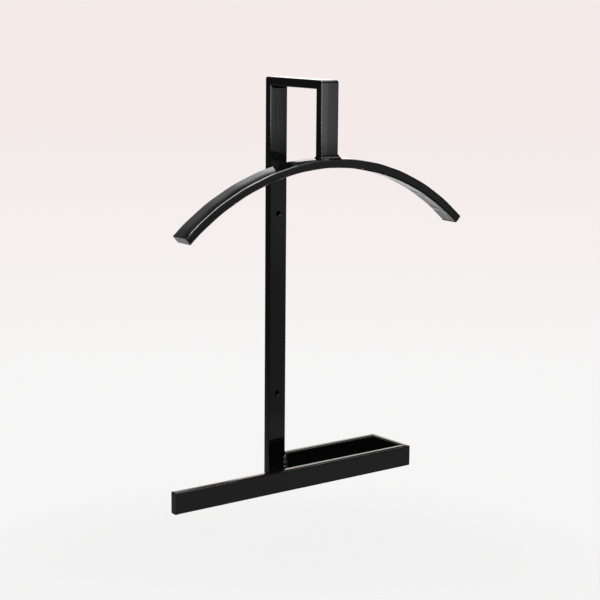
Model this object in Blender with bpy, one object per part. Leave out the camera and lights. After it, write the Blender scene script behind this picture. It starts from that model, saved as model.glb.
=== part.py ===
"""Wall-mounted valet coat rack, welded from one size of rectangular steel tube.

The wall is the plane Y = 0 and the room lies at -Y. X runs along the wall and Z is up. The origin is on the
wall, on the upright's centre line, midway between its two screw holes.
"""

import math

import bmesh
import bpy
from mathutils import Matrix, Vector

MM = 0.001

# Tube stock that every member is cut from
TUBE_WIDTH = 25.0 * MM
TUBE_DEPTH = 10.0 * MM
TUBE_WALL = 1.5 * MM
TUBE_CORNER_RADIUS = 2.5 * MM
TUBE_BORE_RADIUS = 1.0 * MM

# Upright and its screw holes
RACK_HEIGHT = 474.5 * MM
LOWER_HOLE_HEIGHT = 101.0 * MM
HOLE_SPACING = 215.0 * MM
HOLE_DIAMETER = 6.0 * MM

# Arm, neck and hanger: the hanger's radius is that of its upper face, its length that of the unbent tube
ARM_REACH = 105.5 * MM
ARM_FALL = 2.5 * MM
NECK_HEIGHT = 86.0 * MM
HANGER_RADIUS = 290.0 * MM
HANGER_TUBE_LENGTH = 415.0 * MM

# Trouser rail: its free end and its far corner, from the upright's centre line, and its depth from the wall
RAIL_LEFT_REACH = 182.0 * MM
RAIL_RIGHT_REACH = 159.0 * MM
RAIL_FRAME_DEPTH = 72.0 * MM

# End plates
CAP_THICKNESS = 2.0 * MM
CAP_EDGE_RADIUS = 0.8 * MM

# Welds: the toe is the thickness left where a fillet runs out
JOINT_GAP = 0.3 * MM
WELD_TOE = 0.4 * MM
CORNER_WELD_LEG = 3.0 * MM
POST_WELD_FACE_LEG = 4.5 * MM
POST_WELD_SIDE_LEG = 6.0 * MM
BEAD_WIDTH = 6.0 * MM
BEAD_CROWN = 1.2 * MM

# Facets
CORNER_STEPS = 4
FILLET_STEPS = 5
BEAD_STEPS = 8
HOLE_SIDES = 32
HANGER_STEPS = 48
SMOOTH_BELOW = math.radians(35)

# Finish: near-black gloss enamel over bare steel, a little duller where it lies on a weld
ENAMEL_COLOUR = (0.004, 0.004, 0.0045, 1.0)
TUBE_ROUGHNESS = 0.16
WELD_ROUGHNESS = 0.24

# Heights and places that follow from the sizes above
BOTTOM_Z = -LOWER_HOLE_HEIGHT - HOLE_SPACING / 2
TOP_Z = BOTTOM_Z + RACK_HEIGHT
RAIL_Z = BOTTOM_Z + TUBE_WIDTH / 2
ARM_SLOPE = ARM_FALL / ARM_REACH
POST_Y = -ARM_REACH + TUBE_DEPTH / 2
POST_TOP_Z = TOP_Z - ARM_FALL
HANGER_CENTRE_Z = POST_TOP_Z - NECK_HEIGHT - HANGER_RADIUS
HANGER_MID_RADIUS = HANGER_RADIUS - TUBE_DEPTH / 2
HANGER_HALF_ANGLE = HANGER_TUBE_LENGTH / HANGER_MID_RADIUS / 2
CAP_ALLOWANCE = CAP_THICKNESS + JOINT_GAP
MITRE_SETBACK = JOINT_GAP / math.sqrt(2)
FLAT_WIDTH = TUBE_WIDTH - 2 * TUBE_CORNER_RADIUS
FLAT_DEPTH = TUBE_DEPTH - 2 * TUBE_CORNER_RADIUS

LEFT, RIGHT = Vector((-1, 0, 0)), Vector((1, 0, 0))
FRONT, BACK = Vector((0, -1, 0)), Vector((0, 1, 0))
DOWN, UP = Vector((0, 0, -1)), Vector((0, 0, 1))


def new_collection(name):
    collection = bpy.data.collections.new(name)
    bpy.context.scene.collection.children.link(collection)
    return collection


def enamel(name, roughness):
    """The enamel of one piece, as a material of its own."""
    material = bpy.data.materials.new(name + "_enamel")
    material.use_nodes = True
    shader = material.node_tree.nodes["Principled BSDF"]
    shader.inputs["Base Color"].default_value = ENAMEL_COLOUR
    shader.inputs["Roughness"].default_value = roughness
    shader.inputs["Metallic"].default_value = 0.0
    return material


def axes(along, outward):
    """A turn that sends local Z to along and local Y to outward."""
    return Matrix((outward.cross(along), outward, along)).transposed().to_4x4()


def add_piece(rack, name, data, place, roughness):
    """Adds a named piece to the rack's collection, with its own material and its place."""
    piece = bpy.data.objects.new(name, data)
    data.materials.append(enamel(name, roughness))
    rack["collection"].objects.link(piece)
    piece.parent = rack["origin"]
    piece.matrix_world = place
    return piece


def finished_mesh(name, bm):
    """The mesh of bm with its faces outwards, smooth over its rounded edges."""
    bmesh.ops.recalc_face_normals(bm, faces=bm.faces)
    mesh = bpy.data.meshes.new(name)
    bm.to_mesh(mesh)
    bm.free()
    mesh.shade_smooth()
    mesh.set_sharp_from_angle(angle=SMOOTH_BELOW)
    return mesh


def arc(centre, radius, start, end, steps):
    """Points along an arc, both ends included."""
    turns = [start + (end - start) * step / steps for step in range(steps + 1)]
    return [(centre[0] + radius * math.cos(turn), centre[1] + radius * math.sin(turn)) for turn in turns]


def rounded_rectangle(width, depth, radius):
    """The outline, anticlockwise, as corner arcs."""
    points = []
    for corner, (side_x, side_y) in enumerate(((1, 1), (-1, 1), (-1, -1), (1, -1))):
        centre = (side_x * (width / 2 - radius), side_y * (depth / 2 - radius))
        start = corner * math.pi / 2
        points += arc(centre, radius, start, start + math.pi / 2, CORNER_STEPS)
    return points


def closed_loop(bm, points):
    verts = [bm.verts.new((x, y, 0)) for x, y in points]
    return [bm.edges.new(pair) for pair in zip(verts, verts[1:] + verts[:1])]


def tube_section(bm):
    """The wall of the tube in the XY plane, its width along X, as a ring of faces."""
    outside = closed_loop(bm, rounded_rectangle(TUBE_WIDTH, TUBE_DEPTH, TUBE_CORNER_RADIUS))
    bore_width = TUBE_WIDTH - 2 * TUBE_WALL
    bore_depth = TUBE_DEPTH - 2 * TUBE_WALL
    bore = closed_loop(bm, rounded_rectangle(bore_width, bore_depth, TUBE_BORE_RADIUS))
    return bmesh.ops.bridge_loops(bm, edges=outside + bore)["faces"]


def square_end(z):
    return lambda x, y: z


def mitred_start(lean=1.0):
    """A mitred start whose long side is the +Y face: 45 degrees, or off it by lean where a joint isn't square."""
    return lambda x, y: lean * (TUBE_DEPTH / 2 - y) + MITRE_SETBACK


def mitred_end(length, lean=1.0):
    """A mitred end, where length is that of the +Y face."""
    start = mitred_start(lean)
    return lambda x, y: length - start(x, y)


def coped_end(x, y):
    """The foot of the drop post, cut to the round of the hanger."""
    return POST_TOP_Z - hanger_top(x)


def hanger_top(x):
    """Height of what rests on the hanger's upper face, at x from the centre line."""
    return HANGER_CENTRE_Z + math.sqrt((HANGER_RADIUS + JOINT_GAP) ** 2 - x**2)


def tube_mesh(name, start, end):
    """A straight tube along Z, where start and end give the height of each end over the section."""
    bm = bmesh.new()
    extruded = bmesh.ops.extrude_face_region(bm, geom=tube_section(bm))["geom"]
    far_verts = {item for item in extruded if isinstance(item, bmesh.types.BMVert)}
    for vert in bm.verts:
        shape = end if vert in far_verts else start
        vert.co.z = shape(vert.co.x, vert.co.y)
    return finished_mesh(name, bm)


def add_tube(rack, name, start_point, along, outward, start, end):
    place = Matrix.Translation(start_point) @ axes(along, outward)
    return add_piece(rack, name, tube_mesh(name, start, end), place, TUBE_ROUGHNESS)


def add_cap(rack, name, seat, along, outward):
    """An end plate: seat is the middle of its inner face, along points out of the tube."""
    bm = bmesh.new()
    outline = closed_loop(bm, rounded_rectangle(TUBE_WIDTH, TUBE_DEPTH, TUBE_CORNER_RADIUS))
    plate = bmesh.ops.contextual_create(bm, geom=outline)["faces"]
    extruded = bmesh.ops.extrude_face_region(bm, geom=plate)["geom"]
    outer_verts = [item for item in extruded if isinstance(item, bmesh.types.BMVert)]
    bmesh.ops.translate(bm, verts=outer_verts, vec=(0, 0, CAP_THICKNESS))
    outer_face = next(item for item in extruded if isinstance(item, bmesh.types.BMFace))
    bmesh.ops.bevel(
        bm,
        geom=list(outer_face.edges),
        offset=CAP_EDGE_RADIUS,
        segments=CORNER_STEPS,
        profile=0.5,
        affect="EDGES",
    )
    place = Matrix.Translation(seat) @ axes(along, outward)
    return add_piece(rack, name, finished_mesh(name, bm), place, TUBE_ROUGHNESS)


def add_prism(rack, name, outline, place, length):
    """A weld of one section: a filled outline, half of its length to each side of it."""
    curve = bpy.data.curves.new(name, "CURVE")
    curve.dimensions = "2D"
    curve.fill_mode = "BOTH"
    curve.extrude = length / 2
    spline = curve.splines.new("POLY")
    spline.points.add(len(outline) - 1)
    for point, (x, y) in zip(spline.points, outline):
        point.co = (x, y, 0, 1)
    spline.use_cyclic_u = True
    return add_piece(rack, name, curve, place, WELD_ROUGHNESS)


def fillet_outline(leg):
    """A hollow-faced fillet with its legs along +X and +Y."""
    hollow = arc((leg, leg), leg - WELD_TOE, -math.pi / 2, -math.pi, FILLET_STEPS)
    return [(0, 0), (leg, 0), *hollow, (0, leg)]


def add_corner_weld(rack, name, corner, first_leg, second_leg, length):
    """A fillet in an inner corner, its middle at corner, its legs along the two faces that meet there."""
    along = first_leg.cross(second_leg)
    place = Matrix.Translation(corner + JOINT_GAP * (first_leg + second_leg)) @ axes(along, second_leg)
    return add_prism(rack, name, fillet_outline(CORNER_WELD_LEG), place, length)


def add_upright(rack):
    foot = Vector((0, -TUBE_DEPTH / 2, BOTTOM_Z))
    tube_end = mitred_end(RACK_HEIGHT, 1 + ARM_SLOPE)
    upright = add_tube(rack, "wall_upright", foot, UP, BACK, square_end(CAP_ALLOWANCE), tube_end)
    for side, height in (("lower", -HOLE_SPACING / 2), ("upper", HOLE_SPACING / 2)):
        bm = bmesh.new()
        bmesh.ops.create_cone(
            bm,
            cap_ends=True,
            segments=HOLE_SIDES,
            radius1=HOLE_DIAMETER / 2,
            radius2=HOLE_DIAMETER / 2,
            depth=2 * TUBE_DEPTH,
        )
        drill = bpy.data.objects.new(side + "_hole_drill", finished_mesh(side + "_hole_drill", bm))
        drill.hide_render = True
        drill.display_type = "WIRE"
        rack["cutters"].objects.link(drill)
        drill.matrix_world = Matrix.Translation((0, -TUBE_DEPTH / 2, height)) @ axes(BACK, UP)
        hole = upright.modifiers.new(side + "_screw_hole", "BOOLEAN")
        hole.operation = "DIFFERENCE"
        hole.object = drill
    add_cap(rack, "upright_foot_cap", foot + CAP_THICKNESS * UP, DOWN, BACK)


def under_arm(reach):
    """The middle of the arm's lower face, at a distance from the wall."""
    return Vector((0, -reach, TOP_Z - TUBE_DEPTH - ARM_SLOPE * reach))


def add_neck(rack):
    """The arm, which falls a little towards the room, and the drop post, with the fillets in their inner corners."""
    arm_start = Vector((0, 0, TOP_Z - TUBE_DEPTH / 2))
    arm = add_tube(rack, "top_arm", arm_start, FRONT, UP, mitred_start(), mitred_end(ARM_REACH))
    for vert in arm.data.vertices:
        vert.co.y -= ARM_SLOPE * vert.co.z
    post_top = Vector((0, POST_Y, POST_TOP_Z))
    add_tube(rack, "drop_post", post_top, DOWN, FRONT, mitred_start(1 - ARM_SLOPE), coped_end)
    rear_corner = under_arm(TUBE_DEPTH)
    front_corner = under_arm(ARM_REACH - TUBE_DEPTH)
    add_corner_weld(rack, "arm_rear_weld", rear_corner, FRONT, DOWN, FLAT_WIDTH)
    add_corner_weld(rack, "arm_front_weld", front_corner, DOWN, BACK, FLAT_WIDTH)


def add_hanger(rack):
    """The bowed tube, spun about the centre of its bend, and the plates on its ends."""
    centre = Vector((0, POST_Y, HANGER_CENTRE_Z))
    bm = bmesh.new()
    section = tube_section(bm)
    to_left_end = Matrix.Rotation(-HANGER_HALF_ANGLE, 4, "Y")
    to_rim = Matrix.Translation(HANGER_MID_RADIUS * UP) @ axes(RIGHT, UP)
    bmesh.ops.transform(bm, verts=bm.verts, matrix=to_left_end @ to_rim)
    bmesh.ops.spin(
        bm,
        geom=section,
        axis=BACK,
        angle=2 * HANGER_HALF_ANGLE,
        steps=HANGER_STEPS,
    )
    bow = finished_mesh("hanger_bow", bm)
    add_piece(rack, "hanger_bow", bow, Matrix.Translation(centre), TUBE_ROUGHNESS)
    for name, direction, side in (("hanger_cap_left", LEFT, -1), ("hanger_cap_right", RIGHT, 1)):
        turn = Matrix.Rotation(side * HANGER_HALF_ANGLE, 3, "Y")
        seat = centre + turn @ (HANGER_MID_RADIUS * UP + JOINT_GAP * direction)
        add_cap(rack, name, seat, turn @ direction, turn @ UP)


def add_post_weld(rack):
    """The fillet round the foot of the drop post, longer on the narrow sides, bedded on the hanger's round."""
    ledge = TUBE_WIDTH / 2 - TUBE_DEPTH / 2 - TUBE_CORNER_RADIUS - JOINT_GAP
    face_leg = min(POST_WELD_FACE_LEG, ledge)
    gap = 2 * JOINT_GAP
    outline = rounded_rectangle(TUBE_WIDTH + gap, TUBE_DEPTH + gap, TUBE_CORNER_RADIUS + JOINT_GAP)
    bm = bmesh.new()
    rings = []
    for index, (x, y) in enumerate(outline):
        corner, step = divmod(index, CORNER_STEPS + 1)
        turn = (corner + step / CORNER_STEPS) * math.pi / 2
        leg = face_leg + (POST_WELD_SIDE_LEG - face_leg) * math.cos(turn) ** 2
        ring = []
        for out, rise in fillet_outline(leg):
            reach = x + out * math.cos(turn)
            ring.append(bm.verts.new((reach, y + out * math.sin(turn), hanger_top(reach) + rise)))
        rings.append(ring)
    for ring, next_ring in zip(rings, rings[1:] + rings[:1]):
        for index, vert in enumerate(ring):
            bm.faces.new((ring[index - 1], vert, next_ring[index], next_ring[index - 1]))
    mesh = finished_mesh("drop_post_weld", bm)
    add_piece(rack, "drop_post_weld", mesh, Matrix.Translation((0, POST_Y, 0)), WELD_ROUGHNESS)


def add_rails(rack):
    """The trouser rail's frame, with the fillets in its inner corners."""
    free_end = Vector((-RAIL_LEFT_REACH, -RAIL_FRAME_DEPTH + TUBE_DEPTH / 2, RAIL_Z))
    front_length = RAIL_LEFT_REACH + RAIL_RIGHT_REACH
    rail_start = square_end(CAP_ALLOWANCE)
    add_tube(rack, "front_rail", free_end, RIGHT, FRONT, rail_start, mitred_end(front_length))
    add_cap(rack, "front_rail_cap", free_end + CAP_THICKNESS * RIGHT, LEFT, FRONT)

    return_start = Vector((RAIL_RIGHT_REACH - TUBE_DEPTH / 2, -RAIL_FRAME_DEPTH, RAIL_Z))
    add_tube(rack, "rail_return", return_start, BACK, RIGHT, mitred_start(), mitred_end(RAIL_FRAME_DEPTH))

    rear_start = Vector((RAIL_RIGHT_REACH, -TUBE_DEPTH / 2, RAIL_Z))
    rear_length = RAIL_RIGHT_REACH - TUBE_WIDTH / 2 - JOINT_GAP
    add_tube(rack, "rear_rail", rear_start, LEFT, BACK, mitred_start(), square_end(rear_length))

    inner_x = RAIL_RIGHT_REACH - TUBE_DEPTH
    front_corner = Vector((inner_x, -RAIL_FRAME_DEPTH + TUBE_DEPTH, RAIL_Z))
    rear_corner = Vector((inner_x, -TUBE_DEPTH, RAIL_Z))
    add_corner_weld(rack, "rail_front_corner_weld", front_corner, LEFT, BACK, FLAT_WIDTH)
    add_corner_weld(rack, "rail_rear_corner_weld", rear_corner, LEFT, FRONT, FLAT_WIDTH)


def add_rear_rail_welds(rack):
    """The bead over the joint of upright and rear rail, and the fillet in the corner above the rail."""
    chord = BEAD_WIDTH / 2
    radius = (chord**2 + BEAD_CROWN**2) / (2 * BEAD_CROWN)
    half_turn = math.asin(chord / radius)
    crown = arc(
        (0, BEAD_CROWN - radius),
        radius,
        math.pi / 2 - half_turn,
        math.pi / 2 + half_turn,
        BEAD_STEPS,
    )
    bead_x = TUBE_WIDTH / 2 - TUBE_CORNER_RADIUS + chord
    bead_place = Matrix.Translation((bead_x, -TUBE_DEPTH - JOINT_GAP, RAIL_Z)) @ axes(UP, FRONT)
    add_prism(rack, "rear_rail_bead", crown, bead_place, FLAT_WIDTH)
    corner = Vector((TUBE_WIDTH / 2, -TUBE_DEPTH / 2, RAIL_Z + TUBE_WIDTH / 2))
    add_corner_weld(rack, "rear_rail_top_weld", corner, RIGHT, UP, FLAT_DEPTH)


def main():
    for item in list(bpy.data.objects):
        bpy.data.objects.remove(item)
    rack = {"collection": new_collection("coat_rack"), "cutters": new_collection("coat_rack_cutters")}
    rack["origin"] = bpy.data.objects.new("wall_origin", None)
    rack["collection"].objects.link(rack["origin"])
    add_upright(rack)
    add_neck(rack)
    add_hanger(rack)
    add_post_weld(rack)
    add_rails(rack)
    add_rear_rail_welds(rack)


main()
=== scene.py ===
"""Looks of a wall-mounted valet coat rack: gloss black enamel over welded rectangular steel tube.

The wall is the plane Y = 0 and the room lies at -Y. X runs along the wall and Z is up.
"""

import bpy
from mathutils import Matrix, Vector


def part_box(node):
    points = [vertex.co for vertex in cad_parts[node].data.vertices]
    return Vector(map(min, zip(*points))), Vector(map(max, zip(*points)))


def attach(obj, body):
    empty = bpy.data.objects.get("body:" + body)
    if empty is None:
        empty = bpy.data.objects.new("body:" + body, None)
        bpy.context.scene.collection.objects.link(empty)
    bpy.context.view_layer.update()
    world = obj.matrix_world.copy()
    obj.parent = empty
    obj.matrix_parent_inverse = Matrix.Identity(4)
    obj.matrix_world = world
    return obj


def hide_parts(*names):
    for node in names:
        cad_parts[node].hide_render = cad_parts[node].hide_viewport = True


bl_info = {
    "name": "Valet Coat Rack",
    "version": (1, 0, 0),
    "blender": (4, 5, 0),
    "location": "3D View > Sidebar > Coat Rack",
    "description": "Dresses a welded coat rack in gloss black enamel and sets it on a plain pale stage",
    "category": "Object",
}

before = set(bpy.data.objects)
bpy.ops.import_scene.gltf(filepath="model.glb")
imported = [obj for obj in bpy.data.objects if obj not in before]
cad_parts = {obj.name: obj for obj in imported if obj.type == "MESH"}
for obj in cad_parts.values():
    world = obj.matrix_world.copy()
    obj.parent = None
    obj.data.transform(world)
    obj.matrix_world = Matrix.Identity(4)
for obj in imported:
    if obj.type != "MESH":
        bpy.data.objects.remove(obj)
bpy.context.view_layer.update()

import math

import bmesh
import bpy
from bpy.props import FloatProperty, FloatVectorProperty, IntProperty, PointerProperty
from mathutils import Matrix, Vector

MM = 0.001
BODY = "root"

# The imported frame's own places and sizes
UPRIGHT_LOW, UPRIGHT_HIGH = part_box("wall_upright")
BOW_LOW, BOW_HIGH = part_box("hanger_bow")
BOW_CAP_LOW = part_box("hanger_cap_left")[0]
FRONT_RAIL_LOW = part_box("front_rail")[0]
BEAD_LOW, BEAD_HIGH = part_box("rear_rail_bead")
TUBE_WIDTH = UPRIGHT_HIGH.x - UPRIGHT_LOW.x
TUBE_DEPTH = UPRIGHT_HIGH.y - UPRIGHT_LOW.y
TOP_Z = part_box("top_arm")[1].z
BOTTOM_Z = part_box("upright_foot_cap")[0].z
RAIL_Z = BOTTOM_Z + TUBE_WIDTH / 2
RAIL_TOP_Z = BOTTOM_Z + TUBE_WIDTH
RAIL_LEFT_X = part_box("front_rail_cap")[0].x
RAIL_RIGHT_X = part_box("rail_return")[1].x
RAIL_FRONT_Y = FRONT_RAIL_LOW.y
UPRIGHT_Y = UPRIGHT_HIGH.y - TUBE_DEPTH / 2
ARM_FRONT_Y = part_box("drop_post")[0].y
ARM_REACH = UPRIGHT_HIGH.y - ARM_FRONT_Y
POST_Y = ARM_FRONT_Y + TUBE_DEPTH / 2
CROWN_Z = BOW_HIGH.z

LEFT, RIGHT = Vector((-1, 0, 0)), Vector((1, 0, 0))
FRONT, BACK = Vector((0, -1, 0)), Vector((0, 1, 0))
DOWN, UP = Vector((0, 0, -1)), Vector((0, 0, 1))


# Settings that a user would change

LENGTH = {"subtype": "DISTANCE", "unit": "LENGTH"}
FINE_LENGTH = {**LENGTH, "precision": 6}
PLACE = {"subtype": "XYZ", "unit": "LENGTH"}
COLOUR = {"subtype": "COLOR", "min": 0, "max": 1}
SHARE = {"min": 0, "max": 1}


class RackSizes(bpy.types.PropertyGroup):
    """Sizes of the finished tubes, plates and welds."""

    tube_wall: FloatProperty(name="Tube wall", description="Wall of the tube", default=1.5 * MM, **LENGTH)
    corner_radius: FloatProperty(
        name="Corner radius",
        description="Outer corner radius of the tube's section",
        default=1.5 * MM,
        **LENGTH,
    )
    bore_radius: FloatProperty(
        name="Bore radius",
        description="Inner corner radius of the tube's section",
        default=0.5 * MM,
        **LENGTH,
    )
    corner_steps: IntProperty(name="Corner steps", description="Facets round each corner", default=8, min=2)
    side_bulge: FloatProperty(
        name="Side bulge",
        description="How far the tube's narrow sides bulge between its broad ones",
        default=0.22 * MM,
        **LENGTH,
    )
    mitre_radius: FloatProperty(
        name="Mitre radius",
        description="How far the outer edge of a mitre is ground round",
        default=3.0 * MM,
        **LENGTH,
    )
    arm_fall: FloatProperty(
        name="Arm fall",
        description="How far the arm falls from the wall to its front",
        default=2.5 * MM,
        **LENGTH,
    )
    bow_radius: FloatProperty(
        name="Bow radius", description="Radius of the hanger's upper face", default=290.0 * MM, **LENGTH
    )
    bow_steps: IntProperty(name="Bow steps", description="Facets along the hanger", default=192, min=16)
    hanger_lean: FloatProperty(
        name="Hanger lean",
        description="How far the hanger's section leans forward",
        default=math.radians(1.6),
        subtype="ANGLE",
    )
    bow_lift: FloatProperty(
        name="Bow lift",
        description="How far the hanger's middle stands above the plain round",
        default=0.4 * MM,
        **LENGTH,
    )
    middle_fall: FloatProperty(
        name="Upper face fall, middle",
        description="How far the upper face falls away to the front on the left of the hanger's middle",
        default=1.1 * MM,
        **LENGTH,
    )
    end_fall: FloatProperty(
        name="Upper face fall, end",
        description="How far the upper face falls away to the front at the hanger's left end",
        default=0.3 * MM,
        **LENGTH,
    )
    lower_fall: FloatProperty(
        name="Lower face fall",
        description="How far the lower face falls away to the front on the hanger's right",
        default=0.9 * MM,
        **LENGTH,
    )
    bend_pitch: FloatProperty(
        name="Bend pitch",
        description="From one press of the bender to the next along the hanger",
        default=37 * MM,
        **LENGTH,
    )
    bend_height: FloatProperty(
        name="Bend height",
        description="How far each press of the bender stands out of the plain round",
        default=0.12 * MM,
        **LENGTH,
    )
    plate_proud: FloatProperty(
        name="Plate proud",
        description="How far an end plate stands proud of its tube",
        default=0.25 * MM,
        **LENGTH,
    )
    plate_edge: FloatProperty(
        name="Plate edge", description="Rounding of an end plate's outer edge", default=0.8 * MM, **LENGTH
    )
    hole_diameter: FloatProperty(
        name="Hole diameter", description="Screw hole in the upright", default=6.0 * MM, **LENGTH
    )
    hole_spacing: FloatProperty(
        name="Hole spacing",
        description="Distance between the screw holes, which lie evenly about the origin",
        default=215.0 * MM,
        **LENGTH,
    )
    hole_lip: FloatProperty(
        name="Hole lip", description="Rounding of a screw hole's edge", default=0.5 * MM, **LENGTH
    )
    full_leg: FloatProperty(
        name="Full weld leg",
        description="Leg of the fillets in the upright's inner corners",
        default=3.2 * MM,
        **LENGTH,
    )
    slight_leg: FloatProperty(
        name="Slight weld leg",
        description="Leg of the fillets that were ground back, in the other inner corners",
        default=1.5 * MM,
        **LENGTH,
    )
    post_face_leg: FloatProperty(
        name="Post weld leg, faces",
        description="Leg of the drop post's weld on its broad faces",
        default=4.0 * MM,
        **LENGTH,
    )
    post_left_leg: FloatProperty(
        name="Post weld leg, left",
        description="Leg of the drop post's weld on its left side",
        default=0.5 * MM,
        **LENGTH,
    )
    post_right_leg: FloatProperty(
        name="Post weld leg, right",
        description="Leg of the drop post's weld on its right side",
        default=6.3 * MM,
        **LENGTH,
    )
    ripple_pitch: FloatProperty(
        name="Ripple pitch", description="Distance between the ripples of a weld", default=1.9 * MM, **LENGTH
    )
    ripple_height: FloatProperty(
        name="Ripple height", description="Height of the ripples of a weld", default=0.03 * MM, **LENGTH
    )
    lump_size: FloatProperty(
        name="Lump size", description="Size of a weld's lumps", default=4.0 * MM, **LENGTH
    )
    lump_height: FloatProperty(
        name="Lump height", description="Height of a weld's lumps", default=0.3 * MM, **LENGTH
    )


class RackFinish(bpy.types.PropertyGroup):
    """Colours and surface of the enamel."""

    enamel: FloatVectorProperty(
        name="Enamel", description="Colour of the paint", default=(0.0035, 0.0036, 0.004), **COLOUR
    )
    enamel_haze: FloatVectorProperty(
        name="Enamel haze",
        description="Colour of the paint where it is thin or dusty",
        default=(0.0075, 0.0077, 0.0082),
        **COLOUR,
    )
    tube_gloss: FloatProperty(
        name="Tube roughness", description="Roughness of the paint on the tubes", default=0.035, **SHARE
    )
    weld_gloss: FloatProperty(
        name="Weld roughness", description="Roughness of the paint on the welds", default=0.12, **SHARE
    )
    streak_height: FloatProperty(
        name="Streak height",
        description="Height of the drawing lines along a tube",
        default=0.03 * MM,
        **FINE_LENGTH,
    )
    run_height: FloatProperty(
        name="Run height",
        description="Height of the paint runs at the top of the upright",
        default=0.05 * MM,
        **FINE_LENGTH,
    )
    nick_height: FloatProperty(
        name="Nick height",
        description="Height of the nicks along the edges that were ground",
        default=0.06 * MM,
        **FINE_LENGTH,
    )
    wrinkle_height: FloatProperty(
        name="Wrinkle height",
        description="Height of the wrinkles that the bend left under the hanger",
        default=0.6 * MM,
        **FINE_LENGTH,
    )
    peel_height: FloatProperty(
        name="Orange peel height",
        description="Height of the paint's orange peel",
        default=0.006 * MM,
        **FINE_LENGTH,
    )


class RackStage(bpy.types.PropertyGroup):
    """Camera, lights and backdrop."""

    camera_place: FloatVectorProperty(
        name="Camera place",
        description="Where the camera stands",
        default=(-0.9998, -1.3767, 0.2954),
        **PLACE,
    )
    camera_heading: FloatProperty(
        name="Heading",
        description="Turn of the view from straight at the wall to the right",
        default=math.radians(37.07),
        subtype="ANGLE",
    )
    camera_pitch: FloatProperty(
        name="Pitch",
        description="Tilt of the view above the horizon",
        default=math.radians(-9.723),
        subtype="ANGLE",
    )
    camera_roll: FloatProperty(
        name="Roll",
        description="Turn of the camera about its view",
        default=math.radians(0.481),
        subtype="ANGLE",
    )
    lens: FloatProperty(
        name="Lens", description="Focal length in millimetres, on a 36 mm frame", default=87.33
    )
    floor_drop: FloatProperty(
        name="Floor drop", description="Height of the rack's foot above the floor", default=0.4, **LENGTH
    )
    floor_middle: FloatVectorProperty(
        name="Floor middle",
        description="Middle of the floor's disc, behind the rack as the camera sees it",
        default=(0.35, 0.45),
        size=2,
        **PLACE,
    )
    floor_radius: FloatProperty(
        name="Floor radius", description="Radius of the floor's disc", default=1.15, **LENGTH
    )
    floor_colour: FloatVectorProperty(
        name="Floor", description="Colour of the floor", default=(0.9, 0.9, 0.9), **COLOUR
    )
    low_backdrop: FloatVectorProperty(
        name="Low backdrop",
        description="Colour of the backdrop well below the horizon",
        default=(0.925, 0.92, 0.92),
        **COLOUR,
    )
    high_backdrop: FloatVectorProperty(
        name="High backdrop",
        description="Colour of the backdrop at the horizon and above",
        default=(0.905, 0.83, 0.815),
        **COLOUR,
    )
    backdrop_shine: FloatProperty(
        name="Backdrop shine",
        description="Brightness of the high backdrop where it is mirrored",
        default=1.95,
        min=0,
    )
    surround: FloatProperty(
        name="Surround", description="Brightness of the dark studio round the rack", default=0.06, **SHARE
    )
    front_glow: FloatProperty(
        name="Front glow", description="Brightness of the studio's low front half", default=0.15, **SHARE
    )
    floor_glow: FloatProperty(
        name="Floor glow",
        description="Brightness of the studio's floor, away from the rack",
        default=0.2,
        **SHARE,
    )
    back_glow: FloatProperty(
        name="Back glow",
        description="Brightness of the studio's upper back, above the backdrop",
        default=1.5,
        min=0,
    )
    paper_glow: FloatProperty(
        name="Paper glow", description="How much of the floor's paleness needs no lamp", default=0.49, **SHARE
    )
    overhead: FloatProperty(
        name="Overhead lamp", description="Brightness of the overhead softbox", default=7.0, min=0
    )
    key: FloatProperty(
        name="Key lamp", description="Brightness of the softbox on the front left", default=6.0, min=0
    )
    # the overhead card is a painted highlight: only reflections see it, and it lights nothing
    overhead_highlight_card: FloatProperty(
        name="Overhead card",
        description="Brightness of the lit card beside the overhead softbox",
        default=4.0,
        min=0,
    )
    front_card: FloatProperty(
        name="Front card", description="Brightness of the lit card in front", default=1.7, min=0
    )
    # the edge card is a painted highlight on the rounded front left edges: only reflections see it, and it
    # lights nothing
    edge_highlight_card: FloatProperty(
        name="Edge card",
        description="Brightness of the card that only rounded edges mirror",
        default=5.5,
        min=0,
    )


def sizes():
    return bpy.context.scene.rack_sizes


def finish():
    return bpy.context.scene.rack_finish


def stage():
    return bpy.context.scene.rack_stage


# Node trees


class Signal:
    """An output socket that takes part in sums: each operator adds a Math node."""

    def __init__(self, board, socket):
        self.board = board
        self.socket = socket

    def other(self, name):
        """Another output of the same node."""
        return Signal(self.board, self.socket.node.outputs[name])

    def math(self, operation, *terms):
        return self.board.add("ShaderNodeMath", {"operation": operation}, dict(enumerate(terms)))

    def __add__(self, other):
        return self.math("ADD", self, other)

    def __radd__(self, other):
        return self.math("ADD", other, self)

    def __sub__(self, other):
        return self.math("SUBTRACT", self, other)

    def __rsub__(self, other):
        return self.math("SUBTRACT", other, self)

    def __mul__(self, other):
        return self.math("MULTIPLY", self, other)

    def __rmul__(self, other):
        return self.math("MULTIPLY", other, self)

    def __truediv__(self, other):
        return self.math("DIVIDE", self, other)

    def __rtruediv__(self, other):
        return self.math("DIVIDE", other, self)

    def __pow__(self, other):
        return self.math("POWER", self, other)

    def __rpow__(self, other):
        return self.math("POWER", other, self)

    def __abs__(self):
        return self.math("ABSOLUTE", self)

    def sign(self):
        return self.math("SIGN", self)

    def most(self, other):
        return self.math("MAXIMUM", self, other)

    def wave(self):
        """A sine wave that repeats with each whole number."""
        return self.math("SINE", self * (2 * math.pi))

    def angle_over(self, other):
        """The angle whose tangent is self over other."""
        return self.math("ARCTAN2", self, other)

    def smooth(self, low, high):
        """0 below low, 1 above high, and a smooth step between them."""
        settings = {"interpolation_type": "SMOOTHSTEP"}
        sockets = {"Value": self, "From Min": low, "From Max": high, "To Min": 0.0, "To Max": 1.0}
        return self.board.add("ShaderNodeMapRange", settings, sockets)


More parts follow.
